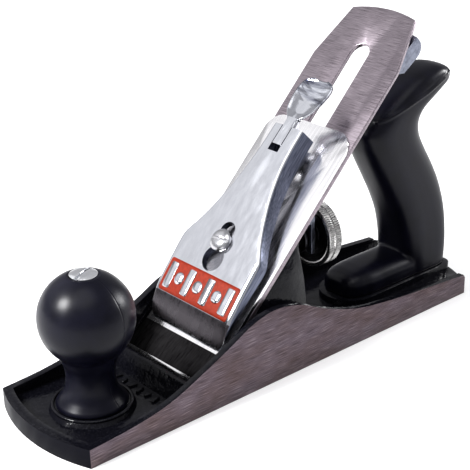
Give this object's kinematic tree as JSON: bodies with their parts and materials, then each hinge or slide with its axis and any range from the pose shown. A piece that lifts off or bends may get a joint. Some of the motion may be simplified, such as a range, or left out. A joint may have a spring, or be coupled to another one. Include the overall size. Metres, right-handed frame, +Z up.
{
  "type": "bench_plane",
  "caption": "Metal smoothing plane with round front knob, rear handle, polished lever cap, slotted iron on a sliding frog, and depth and lateral adjusters",
  "frame": {"origin": "middle of the sole's bottom face", "axes": "+X towards the toe, +Y to the plane's left as it is pushed, +Z up from the sole"},
  "size_m": [0.245, 0.064, 0.1421],
  "materials": {
    "ground_iron": "ground, satin",
    "black_plastic": "satin",
    "black_enamel": "gloss enamel",
    "chrome_cap": "polished",
    "iron_steel": "brushed across",
    "cap_iron_steel": "polished lengthwise",
    "bright_screws": "plated",
    "plain_steel": "turned",
    "wheel_nickel": "knurled, plated",
    "brass": "turned",
    "dark_steel": "as pressed"
  },
  "bodies": {
    "sole": {"sole_body": "ground_iron", "knob": "black_plastic", "knob_screw": "bright_screws", "tote": "black_plastic", "tote_rod": "plain_steel", "tote_nut": "bright_screws", "frog_screw_left": "plain_steel", "frog_screw_right": "plain_steel", "frog_washer_left": "plain_steel", "frog_washer_right": "plain_steel"},
    "frog": {"frog": "black_enamel", "frog_clip": "plain_steel", "frog_clip_screw": "plain_steel", "depth_stud": "plain_steel", "yoke_pin": "plain_steel", "lateral_rivet": "plain_steel"},
    "frog_adjusting_screw": {"frog_adjusting_screw": "brass"},
    "depth_bush": {"depth_bush": "brass"},
    "depth_wheel": {"depth_wheel": "wheel_nickel"},
    "depth_yoke": {"depth_yoke": "dark_steel"},
    "cap_iron": {"cap_iron": "cap_iron_steel", "cap_iron_screw": "plain_steel"},
    "plane_iron": {"plane_iron": "iron_steel"},
    "lateral_lever": {"lateral_lever": "plain_steel", "lateral_roller": "plain_steel"},
    "lever_cap": {"lever_cap": "chrome_cap", "cam_pin": "plain_steel", "lever_cap_spring": "dark_steel", "spring_rivet": "plain_steel"},
    "cam_lever": {"cam_lever": "chrome_cap"},
    "lever_cap_screw": {"lever_cap_screw": "bright_screws"}
  },
  "joints": [
    {"name": "frog_slide", "type": "slide", "parent": "sole", "child": "frog", "axis": [1, 0, 0], "range_m": [-0.001, 0.001]},
    {"name": "frog_screw_turn", "type": "hinge", "parent": "frog", "child": "frog_adjusting_screw", "pos_m": [-0.013, 0, 0.0105], "axis": [1, 0, 0], "range_deg": [-451, 451]},
    {"name": "iron_depth", "type": "slide", "parent": "frog", "child": "cap_iron", "axis": [0.7071, 0, -0.7071], "range_m": [-0.00125, 0.00125]},
    {"name": "wheel_travel", "type": "slide", "parent": "frog", "child": "depth_bush", "axis": [-1, 0, 0], "range_m": [-0.00081, 0.00081]},
    {"name": "wheel_turn", "type": "hinge", "parent": "depth_bush", "child": "depth_wheel", "pos_m": [-0.0356, 0, 0.0455], "axis": [1, 0, 0], "range_deg": [-360, 360]},
    {"name": "yoke_tilt", "type": "hinge", "parent": "frog", "child": "depth_yoke", "pos_m": [-0.0148, 0, 0.05233], "axis": [0, 1, 0], "range_deg": [-4.6, 4.6]},
    {"name": "iron_skew", "type": "hinge", "parent": "cap_iron", "child": "plane_iron", "pos_m": [0.0545, 0, 0], "axis": [0.7071, 0, 0.7071], "range_deg": [-1.4, 0.1]},
    {"name": "lateral_swing", "type": "hinge", "parent": "frog", "child": "lateral_lever", "pos_m": [-0.0201, 0, 0.0746], "axis": [0.7071, 0, 0.7071], "range_deg": [-1, 23]},
    {"name": "lever_cap_slide", "type": "slide", "parent": "frog", "child": "lever_cap", "axis": [-0.7071, 0, 0.7071], "range_m": [0, 0.0085]},
    {"name": "cam_swing", "type": "hinge", "parent": "lever_cap", "child": "cam_lever", "pos_m": [-0.01883, 0, 0.09284], "axis": [0, 1, 0], "range_deg": [0, 95]},
    {"name": "cap_screw_turn", "type": "hinge", "parent": "frog", "child": "lever_cap_screw", "pos_m": [0.00818, 0, 0.04632], "axis": [0.7071, 0, 0.7071], "range_deg": [-90, 90]}
  ],
  "couplings": [
    {"joint": "frog_screw_turn", "follows": "frog_slide", "rad_per_m": 7854},
    {"joint": "wheel_travel", "follows": "iron_depth", "ratio": 0.637},
    {"joint": "wheel_turn", "follows": "iron_depth", "rad_per_m": 5002.5},
    {"joint": "yoke_tilt", "follows": "iron_depth", "rad_per_m": 63.69},
    {"joint": "iron_skew", "follows": "lateral_swing", "ratio": -0.0603}
  ]
}
